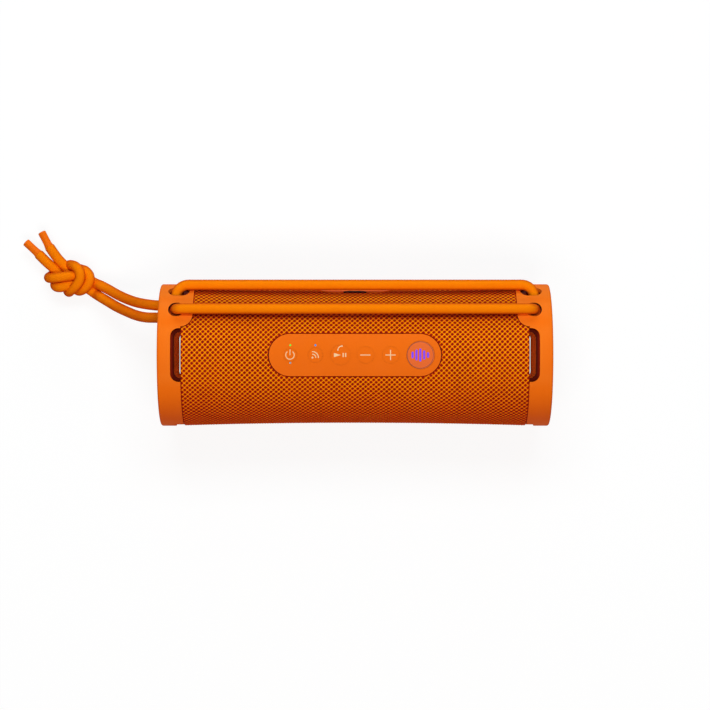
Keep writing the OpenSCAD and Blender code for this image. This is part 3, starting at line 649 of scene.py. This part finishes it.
def sleeve_grid():
    """Outer points, inner points, thread height, and where the cloth is fully covered."""
    rng = np.random.default_rng(7)
    steps_along = int(round(2 * KNIT_HALF / (PITCH / SUB) / BLOCK)) * BLOCK
    steps_round = PER_ROUND * SUB
    x, angle = np.meshgrid(np.linspace(-KNIT_HALF, KNIT_HALF, steps_along + 1),
                           np.arange(steps_round) * 2 * math.pi / steps_round, indexing="ij")
    # slow wander of the yarns so the net isn't perfectly regular
    wander = 0.05 * np.sin(x * 0.21 + 3 * angle) + 0.04 * np.sin(x * 0.083 - 7 * angle + 1.3)
    height = weave_height(angle / (2 * math.pi) * PER_ROUND + wander,
                          x / PITCH + 0.05 * np.sin(5 * angle + x * 0.05))
    height += rng.normal(0, 0.012, height.shape)
    radius = SLEEVE_MID_R + (SLEEVE_END_R - SLEEVE_MID_R) * (x / SLEEVE_HALF) ** 2
    x_in, angle_in = x.copy(), angle.copy()
    fade = np.ones_like(x)            # how much of the relief is left
    drop = np.zeros_like(x)           # how far the cloth dips
    covered = np.full_like(x, FAR_OUTSIDE)

    for length, width, middle in OPENINGS:
        turn = (angle - middle + math.pi) % (2 * math.pi) - math.pi
        same_side = np.abs(turn) < 0.9
        across = radius * np.sin(np.clip(turn, -1.4, 1.4))
        inside, out_x, out_y = pill_inside(x, across, length, width)
        inside = np.where(same_side, inside, FAR_OUTSIDE)
        past_fold = inside + FOLD_OUT
        near = np.clip((inside + 1.05) / 0.85, 0, 1)
        fade *= 1 - 0.97 * near ** 2
        # cloth past the fold is pushed back to it and hangs down there
        folded = same_side & (past_fold > 0)
        push = np.clip(past_fold, 0, None)
        drop += 0.42 * near ** 2
        drop += np.where(folded, np.clip(past_fold, 0, 1.5), 0)
        fold_x = x + out_x * push
        fold_y = across + out_y * push

        def fold_angle(y):
            return middle + np.arcsin(np.clip(y / radius, -1, 1))

        x = np.where(folded, fold_x, x)
        angle = np.where(folded, fold_angle(fold_y), angle)
        x_in = np.where(folded, fold_x + out_x * 0.3, x_in)
        angle_in = np.where(folded, fold_angle(fold_y + out_y * 0.3), angle_in)
        covered = np.maximum(covered, np.where(same_side, past_fold - 1.5, FAR_OUTSIDE))

    # under the cap tabs the cloth is pressed flat
    under_tab = tab_inside(x, radius * np.sin(angle), radius * np.cos(angle))
    press = np.clip((under_tab + 0.38) / 0.34, 0, 1)
    fade *= 1 - 0.95 * press
    covered = np.maximum(covered, under_tab - 1.6)
    hem = np.clip((np.abs(x) - (SLEEVE_HALF - HEM)) / HEM, 0, 1)
    fade *= 1 - 0.6 * hem
    height = height * fade
    outer_r = radius - RELIEF * (1 - height) - drop - 0.22 * hem ** 2
    outer_r = outer_r * (1 - press) + np.minimum(outer_r, PRESSED_R) * press
    inner_r = np.minimum(radius - CLOTH - drop, outer_r - 0.12)
    return (on_body(x, outer_r, angle), on_body(x_in, inner_r, angle_in),
            np.clip(height, 0, 1), covered > 0)


def covered_blocks(covered):
    """Blocks whose every grid point is covered."""
    rows, columns = covered.shape
    covered = np.concatenate([covered, covered[:, :1]], axis=1)
    blocks = np.ones(((rows - 1) // BLOCK, columns // BLOCK), bool)
    for i in range(BLOCK + 1):
        for j in range(BLOCK + 1):
            blocks &= covered[i:i + rows - BLOCK:BLOCK, j:j + columns - BLOCK + 1:BLOCK]
    return blocks


# sides of a block: step to the neighbour, first corner in blocks, direction of the points
BLOCK_SIDES = (
    ((-1, 0), (0, 0), (0, 1)),
    ((1, 0), (1, 1), (0, -1)),
    ((0, -1), (1, 0), (-1, 0)),
    ((0, 1), (0, 1), (1, 0)),
)


def sleeve_faces(keep, steps_round, inner_start):
    """Quads of the fine outer and coarse inner skins, and triangles that close open sides."""
    def point(i, j):
        return i * steps_round + (j % steps_round)

    block_i, block_j = np.nonzero(keep)
    corner_i, corner_j = block_i * BLOCK, block_j * BLOCK
    i, j = np.broadcast_arrays(corner_i[:, None, None] + np.arange(BLOCK)[None, :, None],
                               corner_j[:, None, None] + np.arange(BLOCK)[None, None, :])
    i, j = i.ravel(), j.ravel()
    outer = np.stack([point(i, j), point(i + 1, j), point(i + 1, j + 1), point(i, j + 1)],
                     axis=-1)
    i, j = corner_i, corner_j
    inner = inner_start + np.stack([point(i, j), point(i, j + BLOCK),
                                    point(i + BLOCK, j + BLOCK), point(i + BLOCK, j)],
                                   axis=-1)
    triangles = []
    half = BLOCK // 2
    for (next_i, next_j), (first_i, first_j), (step_i, step_j) in BLOCK_SIDES:
        near_i, near_j = block_i + next_i, (block_j + next_j) % keep.shape[1]
        exists = (near_i >= 0) & (near_i < keep.shape[0])
        joined = np.zeros(len(block_i), bool)
        joined[exists] = keep[near_i[exists], near_j[exists]]
        i = corner_i[~joined] + first_i * BLOCK
        j = corner_j[~joined] + first_j * BLOCK
        edge = [point(i + step_i * t, j + step_j * t) for t in range(BLOCK + 1)]
        below_first, below_last = inner_start + edge[0], inner_start + edge[-1]
        for t in range(BLOCK):
            below = below_first if t < half else below_last
            triangles.append(np.stack([edge[t], edge[t + 1], below], axis=-1))
        triangles.append(np.stack([edge[half], below_last, below_first], axis=-1))
    return np.vstack([outer, inner]), np.vstack(triangles)


def build_sleeve():
    outer, inner, height, covered = sleeve_grid()
    gone = covered_blocks(covered)
    points = np.vstack([outer, inner])
    heights = np.concatenate([height.ravel(), np.full(len(inner), 0.2)])
    material = knit_weave()
    cuts = np.linspace(0, len(gone), SECTIONS + 1).astype(int)
    for k in range(SECTIONS):
        keep = np.zeros(gone.shape, bool)
        keep[cuts[k]:cuts[k + 1]] = ~gone[cuts[k]:cuts[k + 1]]
        quads, triangles = sleeve_faces(keep, PER_ROUND * SUB, inner_start=len(outer))
        # keep only the points this section uses, and renumber its faces
        used, renumbered = np.unique(np.concatenate([quads.ravel(), triangles.ravel()]),
                                     return_inverse=True)
        section = add_large_mesh("knit_sleeve_%d" % (k + 1), points[used],
                                 renumbered[:quads.size].reshape(-1, 4),
                                 renumbered[quads.size:].reshape(-1, 3),
                                 material, heights[used])
        register(section, "body", replaces="grille_fabric")


build_sleeve()


# ---------------------------------------------------------------- cord
BRAID = cord_braid()
CARRIERS = 14                         # strands of the braid in each direction
BRAID_PITCH = 1.45                    # along the cord, from one strand to the next


def spline(stations, step):
    """Centripetal Catmull-Rom curve, resampled evenly: points and lengths along it."""
    p = np.asarray(stations, dtype=float)
    p = np.vstack([2 * p[0] - p[1], p, 2 * p[-1] - p[-2]])
    spans = []
    for i in range(1, len(p) - 2):
        p0, p1, p2, p3 = p[i - 1:i + 3]
        knots = [0.0]
        for start, end in ((p0, p1), (p1, p2), (p2, p3)):
            knots.append(knots[-1] + max(np.linalg.norm(end - start), 1e-6) ** 0.5)
        t0, t1, t2, t3 = knots
        t = np.linspace(t1, t2, 40, endpoint=False)[:, None]

        def between(start, end, from_t, to_t):
            share = to_t - from_t
            return (to_t - t) / share * start + (t - from_t) / share * end

        first, second, third = (between(p0, p1, t0, t1), between(p1, p2, t1, t2),
                                between(p2, p3, t2, t3))
        spans.append(between(between(first, second, t0, t2),
                             between(second, third, t1, t3), t1, t2))
    curve = np.vstack(spans + [p[-2][None]])
    # relax kinks a little, ends held
    for _ in range(6):
        curve[1:-1] = 0.25 * curve[:-2] + 0.5 * curve[1:-1] + 0.25 * curve[2:]
    lengths = np.linalg.norm(np.diff(curve, axis=0), axis=1)
    travelled = np.concatenate([[0], np.cumsum(lengths)])
    count = max(2, int(round(travelled[-1] / step)))
    even = np.linspace(0, travelled[-1], count + 1)
    return np.stack([np.interp(even, travelled, curve[:, k]) for k in range(3)], axis=1), even


def cross_frames(curve):
    """Two directions square to the curve at each point, carried along without twist."""
    tangent = np.gradient(curve, axis=0)
    tangent /= np.linalg.norm(tangent, axis=1)[:, None]
    normal = np.zeros_like(curve)
    previous = np.array([0, 0, 1.0]) if abs(tangent[0][2]) < 0.9 else np.array([0, 1.0, 0])
    for i in range(len(curve)):
        square = previous - tangent[i] * previous.dot(tangent[i])
        normal[i] = square / np.linalg.norm(square)
        previous = normal[i]
    return normal, np.cross(tangent, normal)


def braid_height(angle, along):
    """Plaited cover: two sets of strands, each over one and under one."""
    p = angle * CARRIERS / (2 * math.pi) + along / BRAID_PITCH
    q = angle * CARRIERS / (2 * math.pi) - along / BRAID_PITCH
    arch_p, arch_q = (np.sin(math.pi * (count - np.floor(count))) for count in (p, q))
    p_over = (np.floor(p) + np.floor(q)) % 2 < 1
    return np.where(p_over, arch_p ** 0.6 * (0.62 + 0.38 * arch_q),
                    arch_q ** 0.6 * (0.62 + 0.38 * arch_p))


def add_cord(name, stations, step=0.26, around=84, round_end=False):
    """Braided cord through the stations: the object, and the last point of its middle."""
    curve, along = spline(stations, step)
    normal, side = cross_frames(curve)
    angle, place = np.meshgrid(np.arange(around) * 2 * math.pi / around, along)
    height = braid_height(angle, place)
    radius = CORD_R - 0.09 + 0.12 * height
    if round_end:
        # the last 0.9 mm narrows to 0.72 of the radius
        flat = np.clip((along[-1] - along) / 0.9, 0, 1)
        taper = np.sqrt(np.clip(1 - (1 - flat) ** 2, 0.0, 1)) * 0.28 + 0.72
        radius = radius * taper[:, None]
    rings = curve[:, None, :] + radius[..., None] * (
        np.cos(angle)[..., None] * normal[:, None, :]
        + np.sin(angle)[..., None] * side[:, None, :])
    heights = np.concatenate([(0.25 + 0.75 * height).ravel(), [0.2, 0.2]])
    piece = add_tube(name, rings, curve[0], curve[-1], BRAID, heights)
    return piece, curve[-1]


# The two runs along the body, upper (0) and rear (1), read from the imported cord.
UPPER, REAR = 0, 1
cord_high = box_mm("strap_cord")[1]
RUN_ANGLES = (math.acos((cord_high[2] - CORD_R - AXIS_Z) / RUN_R),
              math.asin((cord_high[1] - CORD_R) / RUN_R))
BEND_R = (4.0, 6.6)                   # where each run turns down into a cap
END_X = (cord_high[0] - CORD_R - 0.7, cord_high[0] - CORD_R)
CAP_DEPTH = 6.5                       # how far inside the cap the upper run's ends go

# where the two strands leave the left ring (x, y, z over the axis)
EXIT_A = (-97.2, 26.3, 6.4)
EXIT_B = (-97.2, 20.0, 15.5)


def over_axis(points, shift=(0.0, 0.0)):
    """Points with z taken from the body axis, shifted in x and y."""
    return [[x + shift[0], y + shift[1], AXIS_Z + z] for x, y, z in points]


def run_point(x, run, outward=0.0):
    angle, slant = RUN_ANGLES[run], CORD_SLANTS[run]
    return [x, RUN_R * math.sin(angle) + outward * math.sin(slant),
            AXIS_Z + RUN_R * math.cos(angle) + outward * math.cos(slant)]


def bend(side, run):
    """From the run down into the ring; side is -1 at the left end and 1 at the right."""
    radius = BEND_R[run]
    points = []
    for degrees in (0, 15, 30, 45, 60, 75, 90):
        t = math.radians(degrees)
        x = END_X[run] - radius + radius * math.sin(t)
        points.append(run_point(side * x, run, radius * (math.cos(t) - 1)))
    return points


def straight(run):
    return [run_point(x, run) for x in np.linspace(-84, 84, 13)]


def right_turn():
    """Quarter turn inside the right ring that leads from the upper run to the rear run."""
    radius, centre_y, centre_z = 4.3, 27.9, 21.6
    drift = 0.5                       # in x over the turn
    points = []
    for degrees in (0, 22.5, 45, 67.5, 90):
        t = math.radians(degrees)
        points.append((END_X[UPPER] + drift * degrees / 90.0,
                       centre_y - radius * math.cos(t), centre_z - radius * math.sin(t)))
    return over_axis(points)


def build_runs():
    """From inside the left ring, along, round inside the right ring and back."""
    to_upper = over_axis([EXIT_B, (-95.2, 21.0, 18.4), (-93.9, 22.6, 21.8)])
    to_rear = over_axis([EXIT_A, (-95.4, 26.1, 11.5), (-94.4, 26.4, 15.0),
                         (-94.3, 28.0, 17.0)])
    path = (to_upper + [run_point(-END_X[UPPER], UPPER, -CAP_DEPTH)]
            + bend(-1, UPPER)[::-1] + straight(UPPER) + bend(1, UPPER)
            + [run_point(END_X[UPPER], UPPER, -CAP_DEPTH)] + right_turn()
            + bend(1, REAR)[::-1] + straight(REAR)[::-1] + bend(-1, REAR) + to_rear[::-1])
    runs, _ = add_cord("cord_runs", path, step=0.32, around=70)
    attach(runs, "body")
    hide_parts("strap_cord")


# Free end: two strands, a double overhand knot and two cut ends (x, y, z over the axis).
LEAD_A = (
    EXIT_A, (-99.5, 26.3, 5.9), (-102.5, 26.3, 4.8), (-105.9, 26.4, 2.8),
    (-110.7, 27.0, -1.2), (-116.5, 28.1, -7.0), (-122.4, 30.0, -13.5), (-128.3, 32.6, -19.5),
    (-134.2, 35.8, -24.5), (-138.0, 37.7, -26.8),
)
LEAD_B = (
    EXIT_B, (-99.5, 19.9, 13.5), (-102.5, 19.8, 10.8), (-105.9, 19.8, 7.3),
    (-111.0, 20.0, 2.5), (-116.9, 21.2, -4.5), (-122.9, 23.5, -11.5), (-128.9, 26.2, -18.0),
    (-134.7, 29.5, -23.0), (-138.0, 31.4, -25.4),
)
KNOT_SHIFT = (0.9, -0.1)              # moves both knot tables in x and y
KNOT_A = (
    (-142.1, 39.1, -29.2), (-147.1, 41.7, -29.7), (-151.9, 43.2, -27.7),
    (-156.5, 42.9, -25.0), (-161.4, 42.2, -24.4), (-165.2, 41.9, -26.0),
    (-167.4, 42.2, -29.2), (-166.4, 43.4, -33.0), (-163.2, 46.2, -34.2),
    (-159.4, 48.0, -33.6), (-157.2, 48.8, -31.7), (-155.2, 49.0, -28.2),
    (-152.2, 47.8, -25.0), (-150.1, 44.8, -23.7), (-150.1, 40.9, -23.7),
    (-152.5, 37.3, -24.6), (-155.4, 35.1, -27.2), (-156.7, 34.5, -30.2),
    (-157.7, 35.9, -33.0), (-158.9, 38.5, -32.2), (-160.8, 41.8, -30.7),
    (-163.9, 46.3, -29.7),
)
KNOT_B = (
    (-142.1, 33.4, -29.2), (-146.1, 36.1, -29.6), (-150.4, 38.3, -29.7),
    (-154.2, 38.4, -28.0), (-157.6, 37.6, -26.2), (-160.9, 36.9, -26.0),
    (-163.4, 37.4, -28.2), (-164.0, 39.2, -32.0), (-160.5, 42.3, -34.3),
    (-155.9, 45.3, -34.4), (-151.8, 46.9, -33.4), (-149.5, 46.5, -30.7),
    (-147.2, 45.6, -27.7), (-145.1, 42.9, -26.2), (-145.4, 39.3, -26.0),
    (-147.8, 36.4, -27.0), (-150.7, 35.1, -29.7), (-152.7, 35.9, -32.7),
    (-154.4, 38.5, -33.0), (-155.5, 41.8, -31.4), (-157.9, 47.2, -30.2),
)
END_A = ((-168.1, 50.9, -28.9), (-172.4, 55.2, -28.9))
END_B = ((-161.8, 52.6, -29.2), (-166.5, 59.2, -28.9))
# strand letter, its three tables, and the far end of its tip
STRANDS = (
    ("a", LEAD_A, KNOT_A, END_A, (-179.1, 61.4, -29.7)),
    ("b", LEAD_B, KNOT_B, END_B, (-170.5, 66.8, -29.7)),
)


def build_tails():
    """The two strands; returns where each of them ends."""
    ends = []
    for letter, lead, knot, cut_end, _ in STRANDS:
        path = over_axis(lead) + over_axis(knot, KNOT_SHIFT) + over_axis(cut_end)
        tail, end = add_cord("cord_tail_" + letter, path, round_end=True)
        ends.append(end)
        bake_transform(tail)
        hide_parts("strap_tail")
    return ends


def lathe(name, start, direction, profile, material, around=40):
    """Turned shape from a profile of (distance from start, radius)."""
    direction = direction / np.linalg.norm(direction)
    up = np.array([0, 0, 1.0])
    normal = up - direction * up.dot(direction)
    normal /= np.linalg.norm(normal)
    side = np.cross(direction, normal)
    turns = [2 * math.pi * k / around for k in range(around)]
    rings = np.array([[start + direction * s + r * (math.cos(a) * normal + math.sin(a) * side)
                       for a in turns] for s, r in profile])
    return add_tube(name, rings, start + direction * profile[0][0],
                    start + direction * profile[-1][0], material)


def build_tips(ends):
    """A sleeve on each cut end, with the cord's core showing at its mouth."""
    skin = cord_tip_skin()
    core = painted("cord_core", (150, 48, 8))
    for start, (letter, _, _, _, far_end) in zip(ends, STRANDS):
        direction = np.array(over_axis([far_end])[0]) - start
        length = np.linalg.norm(direction)
        skin_profile = [
            (-1.4, 2.2), (-0.4, 2.42), (0.3, 2.36), (1.1, 2.22), (2.0, 2.16),
            (length * 0.5, 2.13), (length - 1.2, 2.16), (length - 0.5, 2.18),
            (length - 0.18, 2.12), (length - 0.03, 1.95), (length, 1.6),
            (length - 0.25, 1.2), (length - 0.3, 0.5)]
        core_profile = [(length - 1.2, 1.25), (length - 0.26, 1.5), (length - 0.2, 1.42),
                        (length - 0.24, 0.6)]
        for kind, profile, material in (("cord_tip_", skin_profile, skin),
                                        ("cord_core_", core_profile, core)):
            piece = lathe(kind + letter, start, direction, profile, material)
            register(piece, "cord_tail", replaces="cord_tips")


build_runs()
build_tips(build_tails())


# ---------------------------------------------------------------- symbols on the keys
PRINT_SINK = 0.15                     # how far the print reaches below the key's surface


def add_symbol(name, outlines, key, material, proud=0.035):
    """Thin raised print from convex outlines (x, y), wrapped onto the panel's curve."""
    points, faces = [], []
    for outline in outlines:
        count = len(outline)
        base = len(points)
        surface = [(x, y, AXIS_Z + math.sqrt(PANEL_R ** 2 - y ** 2)) for x, y in outline]
        points += [(x, y * (1 + proud / PANEL_R), z + proud) for x, y, z in surface]
        points += [(x, y, z - PRINT_SINK) for x, y, z in surface]
        faces.append(tuple(range(base, base + count)))
        faces.append(tuple(range(base + 2 * count - 1, base + count - 1, -1)))
        for i in range(count):
            j = (i + 1) % count
            faces.append((base + i, base + count + i, base + count + j, base + j))
    piece = add_mesh(name, points, faces, material, smooth=False)
    face_outwards(piece.data)
    register(piece, key)


def face_outwards(mesh):
    editable = bmesh.new()
    editable.from_mesh(mesh)
    bmesh.ops.recalc_face_normals(editable, faces=editable.faces)
    editable.to_mesh(mesh)
    editable.free()


def arc(x, y, radius, width, start, end, parts):
    """Band round (x, y) from start to end in degrees."""
    inner, outer = radius - width / 2, radius + width / 2
    outlines = []
    for i in range(parts):
        a, b = (math.radians(start + (end - start) * k / parts) for k in (i, i + 1))
        outlines.append([(x + r * math.cos(t), y + r * math.sin(t))
                         for r, t in ((inner, a), (outer, a), (outer, b), (inner, b))])
    return outlines


def disc(x, y, radius, sides=16):
    turns = [2 * math.pi * i / sides for i in range(sides)]
    return [[(x + radius * math.cos(t), y + radius * math.sin(t)) for t in turns]]


def bar(x, y, width, height, parts=4):
    """Rectangle split along y so that it follows the curve."""
    left, right = x - width / 2, x + width / 2
    outlines = []
    for i in range(parts):
        y0, y1 = (y - height / 2 + height * k / parts for k in (i, i + 1))
        outlines.append([(left, y0), (right, y0), (right, y1), (left, y1)])
    return outlines


def triangle(left, length, half_height, half_tip, parts=6):
    """Triangle that points to +x with a blunt tip, split along x."""
    outlines = []
    for i in range(parts):
        (x0, h0), (x1, h1) = ((left + length * share, half_height * (1 - share) + half_tip)
                              for share in (i / parts, (i + 1) / parts))
        outlines.append([(x0, h0), (x0, -h0), (x1, -h1), (x1, h1)])
    return outlines


def build_symbols():
    cream = painted("symbol_cream", (255, 222, 170))
    # painted glow on the purple print, which is no lamp
    purple = painted("symbol_purple", (118, 56, 255), glow=0.2)

    x = middle_x("key_power") - 0.15
    stroke = 0.46
    add_symbol("symbol_power",
               arc(x, 0.0, radius=2.2, width=stroke, start=128, end=412, parts=30)
               + bar(x, 1.4, width=stroke, height=3.0), "key_power", cream)

    # a dot with two quarter arcs round it
    x = middle_x("key_pairing") - 0.2 - 1.35
    y = -1.35
    waves = dict(width=0.5, start=-4, end=94)
    add_symbol("symbol_wireless",
               disc(x, y, radius=0.5) + arc(x, y, radius=1.75, parts=12, **waves)
               + arc(x, y, radius=3.1, parts=16, **waves), "key_pairing", cream)

    # a triangle, two bars, and over them an arc with round ends
    x = middle_x("key_play") - 0.2
    play = triangle(x - 3.25, length=3.5, half_height=1.06, half_tip=0.02)
    for bar_x in (x + 1.55, x + 2.85):
        play += bar(bar_x, 0.0, width=0.62, height=2.1, parts=3)
    play += arc(x + 1.25, 2.2, radius=2.55, width=0.48, start=98, end=172, parts=12)
    play += disc(x + 0.95, 4.66, radius=0.38) + disc(x - 1.2, 2.62, radius=0.38)
    add_symbol("symbol_play", play, "key_play", cream)

    across = dict(width=5.3, height=0.5, parts=2)
    add_symbol("symbol_minus", bar(middle_x("key_minus") - 0.18, 0.0, **across),
               "key_minus", cream)
    x = middle_x("key_plus") - 0.15
    plus = bar(x, 0.0, **across)
    for y in (1.46, -1.46):
        plus += bar(x, y, width=0.5, height=2.42)
    add_symbol("symbol_plus", plus, "key_plus", cream)

    # five bars with round ends, in a thin ring
    x = middle_x("key_sound") - 0.2
    width, spacing = 1.15, 2.0
    sound = []
    for i, height in enumerate((2.4, 4.4, 5.6, 3.6, 1.8)):
        bar_x = x + spacing * (i - 2)
        sound += bar(bar_x, 0.0, width, height, parts=5)
        sound += disc(bar_x, height / 2, width / 2) + disc(bar_x, -height / 2, width / 2)
    add_symbol("symbol_sound", sound, "key_sound", purple)
    add_symbol("symbol_ring",
               arc(x, 0.0, radius=6.84, width=0.26, start=0, end=360, parts=60),
               "key_sound", painted("symbol_outline", (150, 66, 44)), proud=0.015)


build_symbols()


# ---------------------------------------------------------------- stage (metres)
LIGHT_DISTANCE = 1.2
LIGHT_LENGTH = 0.8                    # along the body
LIGHT_AIM = Vector((0, 0, 0.05))
# name, degrees from straight up towards the rear, strength, width across, colour
LIGHTS = (
    ("rear_light", 84.0, 0.32, 0.36, (0.93, 1.0, 1.0)),
    ("key_light", 31.0, 0.42, 0.40, (0.94, 1.0, 0.98)),
    ("top_light", -21.0, 0.485, 0.40, (1.0, 0.79, 0.70)),
)
CAMERA_DISTANCE = 1.4                 # above the body axis
VIEW_WIDTH = 0.378404306              # seen at the height of the body axis
SENSOR_MM = 36.0


def build_floor():
    bpy.ops.mesh.primitive_plane_add(size=6.0, location=(0, 0, -0.0002))
    floor = bpy.context.object
    floor.name = "floor"
    floor.data.materials.append(floor_paper())


def build_world():
    world = bpy.data.worlds.new("studio")
    bpy.context.scene.world = world
    world.use_nodes = True
    colour, strength = world.node_tree.nodes["Background"].inputs[:2]
    colour.default_value = (1.0, 0.86, 0.76, 1)
    strength.default_value = 0.14


def build_light(name, degrees, strength, width, colour):
    angle = math.radians(degrees)
    light = bpy.data.lights.new(name, "AREA")
    light.shape = "RECTANGLE"
    light.size = LIGHT_LENGTH
    light.size_y = width
    light.energy = strength * math.pi ** 2 * LIGHT_DISTANCE * LIGHT_DISTANCE
    light.color = colour
    lamp = bpy.data.objects.new(name, light)
    bpy.context.scene.collection.objects.link(lamp)
    place = Vector((0.0, LIGHT_DISTANCE * math.sin(angle),
                    0.05 + LIGHT_DISTANCE * math.cos(angle)))
    lamp.location = place
    lamp.rotation_euler = (LIGHT_AIM - place).to_track_quat("-Z", "Y").to_euler()


def build_camera():
    """Camera straight above the body, looking down."""
    scene = bpy.context.scene
    scene.view_settings.view_transform = "Standard"
    scene.view_settings.look = "None"
    lens = bpy.data.cameras.new("camera")
    lens.sensor_width = SENSOR_MM
    lens.lens = SENSOR_MM * CAMERA_DISTANCE / VIEW_WIDTH
    lens.clip_end = 20
    camera = bpy.data.objects.new("camera", lens)
    scene.collection.objects.link(camera)
    camera.location = (0.0, 0.0, AXIS_Z / 1000.0 + CAMERA_DISTANCE)
    camera.rotation_euler = (0.0, 0.0, 0.0)
    scene.camera = camera


build_floor()
build_world()
for settings in LIGHTS:
    build_light(*settings)
build_camera()
